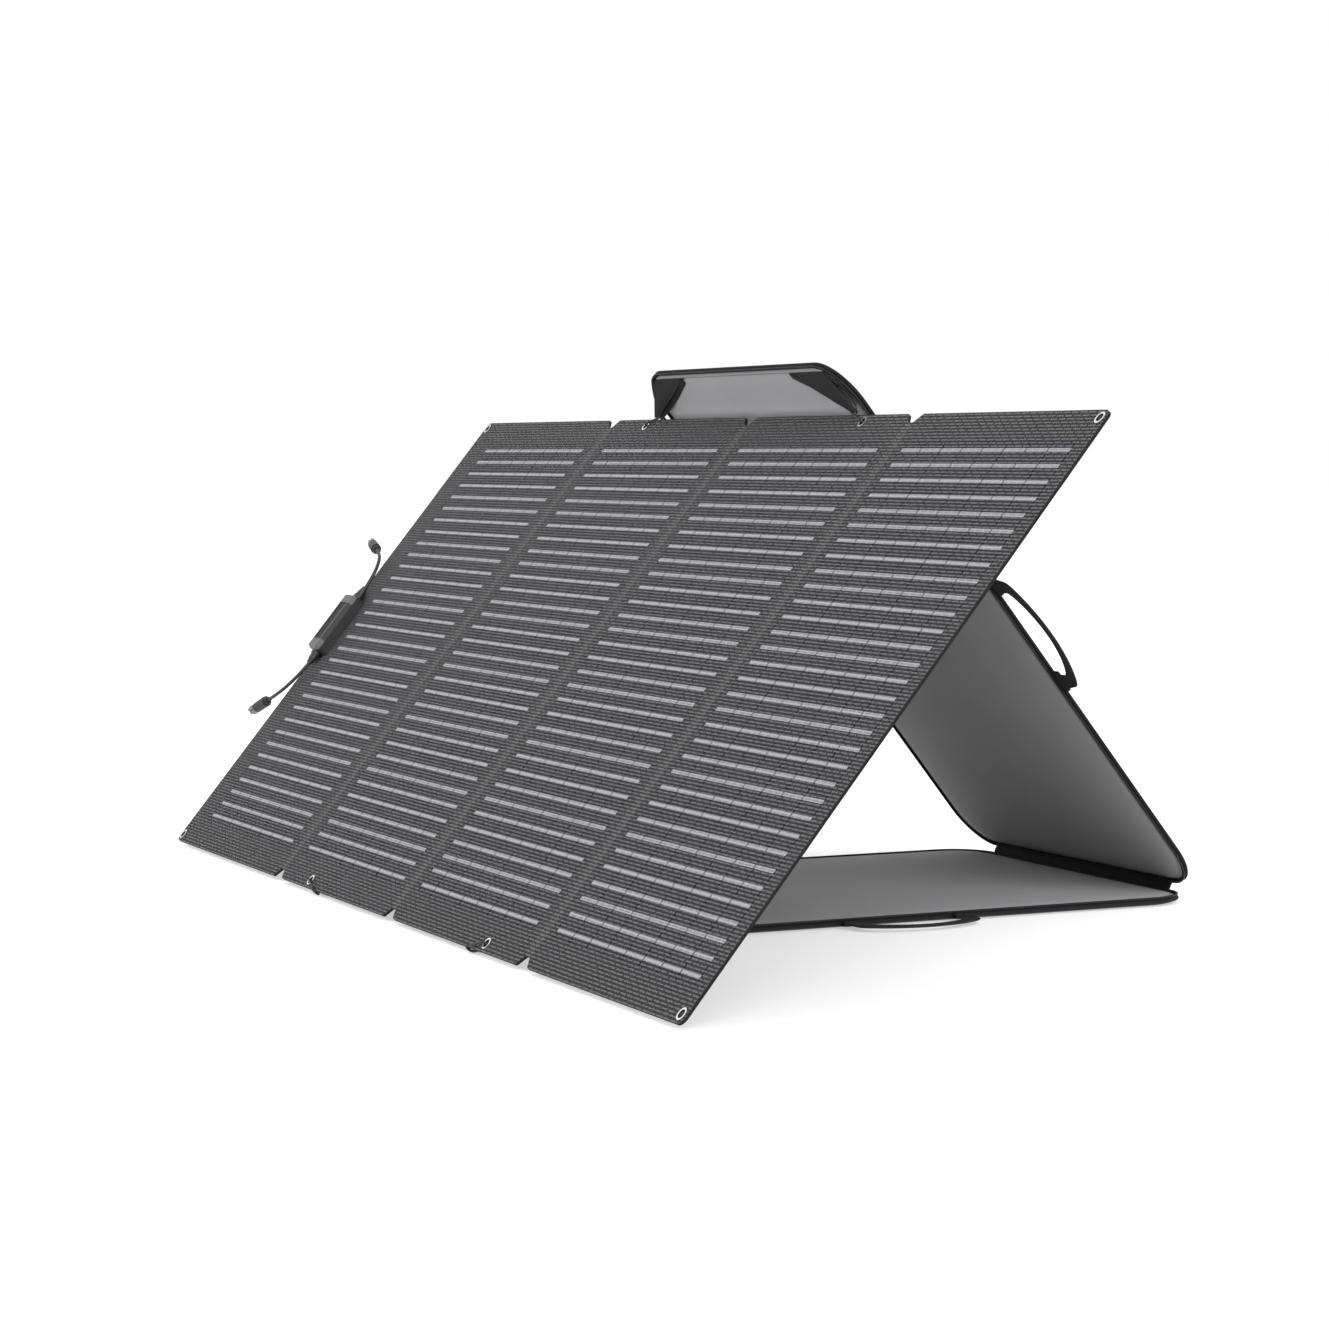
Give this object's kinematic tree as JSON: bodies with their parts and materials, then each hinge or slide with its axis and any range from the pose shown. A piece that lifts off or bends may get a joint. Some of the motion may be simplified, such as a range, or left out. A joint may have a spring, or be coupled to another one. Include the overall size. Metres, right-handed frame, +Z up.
{
  "type": "folding solar panel kit",
  "caption": "Folding four-segment solar panel leaning on its opened folio case, which makes the stand, with hook straps, carry handles and two leads.",
  "frame": {"origin": "middle of the case base's underside, on the ground", "axes": "+X along the panel towards the end with the carry handles, +Y from the foot of the panel to the spine of the case, +Z up"},
  "size_m": [1.9358, 1.045, 0.7104],
  "materials": {
    "panel_fabric": "woven, dark grey",
    "clear_film": "clear textured film",
    "solar_cell": "dark wafer",
    "ribbon": "tinned, light grey",
    "eyelet_steel": "bright pressed metal",
    "hinge_fabric": "woven",
    "moulded_plastic": "satin black",
    "cable_rubber": "matt black",
    "case_fabric": "woven, charcoal",
    "core_board": "plain sheet",
    "lining_fabric": "soft brushed grey",
    "piping_fabric": "black",
    "black_metal": "black satin",
    "webbing": "woven black"
  },
  "bodies": {
    "case_base": {"base_shell": "case_fabric", "base_core": "core_board", "base_lining": "lining_fabric", "base_piping": "piping_fabric", "spine": "hinge_fabric", "bottom_straps": "webbing", "base_handle_anchors": "webbing"},
    "case_back": {"back_shell": "case_fabric", "back_core": "core_board", "back_lining": "lining_fabric", "back_piping": "piping_fabric", "back_handle_anchors": "webbing", "hanger_flaps": "webbing", "hanger_webbing": "webbing"},
    "panel_2": {"panel_2_board": "panel_fabric", "panel_2_film": "clear_film", "panel_2_cells": "solar_cell", "panel_2_ribbons": "ribbon", "panel_2_eyelets": "eyelet_steel", "fold_left_strip": "hinge_fabric", "fold_mid_strip": "hinge_fabric", "carabiner_top_left": "black_metal", "carabiner_bottom_left": "black_metal"},
    "panel_1": {"panel_1_board": "panel_fabric", "panel_1_film": "clear_film", "panel_1_cells": "solar_cell", "panel_1_ribbons": "ribbon", "panel_1_eyelets": "eyelet_steel", "junction_box_base": "moulded_plastic", "junction_box_lid": "moulded_plastic", "junction_box_plate": "moulded_plastic", "diode_block": "moulded_plastic", "cable_glands": "moulded_plastic", "lead_upper": "cable_rubber", "lead_lower": "cable_rubber", "connector_upper": "moulded_plastic", "connector_lower": "moulded_plastic"},
    "panel_3": {"panel_3_board": "panel_fabric", "panel_3_film": "clear_film", "panel_3_cells": "solar_cell", "panel_3_ribbons": "ribbon", "panel_3_eyelets": "eyelet_steel", "fold_right_strip": "hinge_fabric", "carabiner_top_right": "black_metal", "carabiner_bottom_right": "black_metal"},
    "panel_4": {"panel_4_board": "panel_fabric", "panel_4_film": "clear_film", "panel_4_cells": "solar_cell", "panel_4_ribbons": "ribbon", "panel_4_eyelets": "eyelet_steel"},
    "base_handle": {"base_handle": "webbing"},
    "back_handle": {"back_handle": "webbing"},
    "zipper_slider": {"zipper_slider": "black_metal", "zipper_pull": "black_metal"},
    "gate_top_left": {"gate_top_left": "black_metal"},
    "gate_top_right": {"gate_top_right": "black_metal"},
    "gate_bottom_left": {"gate_bottom_left": "black_metal"},
    "gate_bottom_right": {"gate_bottom_right": "black_metal"}
  },
  "joints": [
    {"name": "case_hinge", "type": "hinge", "parent": "case_base", "child": "case_back", "pos_m": [0, 0.4425, 0.0128], "axis": [1, 0, 0], "range_deg": [0, 49]},
    {"name": "panel_pivot", "type": "hinge", "parent": "case_back", "child": "panel_2", "pos_m": [0, -0.08061, 0.63331], "axis": [1, 0, 0], "range_deg": [-98.5, 0]},
    {"name": "fold_left", "type": "hinge", "parent": "panel_2", "child": "panel_1", "pos_m": [-0.451, -0.33417, 0.32588], "axis": [0, 0.6312, 0.7756], "range_deg": [0, 100]},
    {"name": "fold_mid", "type": "hinge", "parent": "panel_2", "child": "panel_3", "pos_m": [0, -0.33417, 0.32588], "axis": [0, 0.6312, 0.7756], "range_deg": [-176, 0]},
    {"name": "fold_right", "type": "hinge", "parent": "panel_3", "child": "panel_4", "pos_m": [0.451, -0.33417, 0.32588], "axis": [0, -0.6312, -0.7756], "range_deg": [0, 100]},
    {"name": "base_handle_swing", "type": "hinge", "parent": "case_base", "child": "base_handle", "pos_m": [0.306, -0.0015, 0.0063], "axis": [0, 1, 0], "range_deg": [-90, 0]},
    {"name": "back_handle_swing", "type": "hinge", "parent": "case_back", "child": "back_handle", "pos_m": [0.306, 0.17144, 0.36451], "axis": [0, -0.622, 0.783], "range_deg": [0, 90]},
    {"name": "zipper_slide", "type": "slide", "parent": "case_base", "child": "zipper_slider", "axis": [0, -1, 0], "range_m": [0, 0.7]},
    {"name": "gate_top_left_swing", "type": "hinge", "parent": "panel_2", "child": "gate_top_left", "pos_m": [-0.29177, -0.07806, 0.64563], "axis": [0.31, -0.6001, -0.7374], "range_deg": [0, 4], "stiffness_Nm_per_rad": 0.02},
    {"name": "gate_top_right_swing", "type": "hinge", "parent": "panel_3", "child": "gate_top_right", "pos_m": [0.29177, -0.07806, 0.64563], "axis": [0.31, 0.6001, 0.7374], "range_deg": [0, 4], "stiffness_Nm_per_rad": 0.02},
    {"name": "gate_bottom_left_swing", "type": "hinge", "parent": "panel_2", "child": "gate_bottom_left", "pos_m": [-0.29177, -0.59523, 0.01016], "axis": [-0.31, -0.6001, -0.7374], "range_deg": [0, 4], "stiffness_Nm_per_rad": 0.02},
    {"name": "gate_bottom_right_swing", "type": "hinge", "parent": "panel_3", "child": "gate_bottom_right", "pos_m": [0.29177, -0.59523, 0.01016], "axis": [-0.31, 0.6001, 0.7374], "range_deg": [0, 4], "stiffness_Nm_per_rad": 0.02}
  ],
  "couplings": [
    {"joint": "panel_pivot", "follows": "case_hinge", "ratio": -2.005}
  ]
}
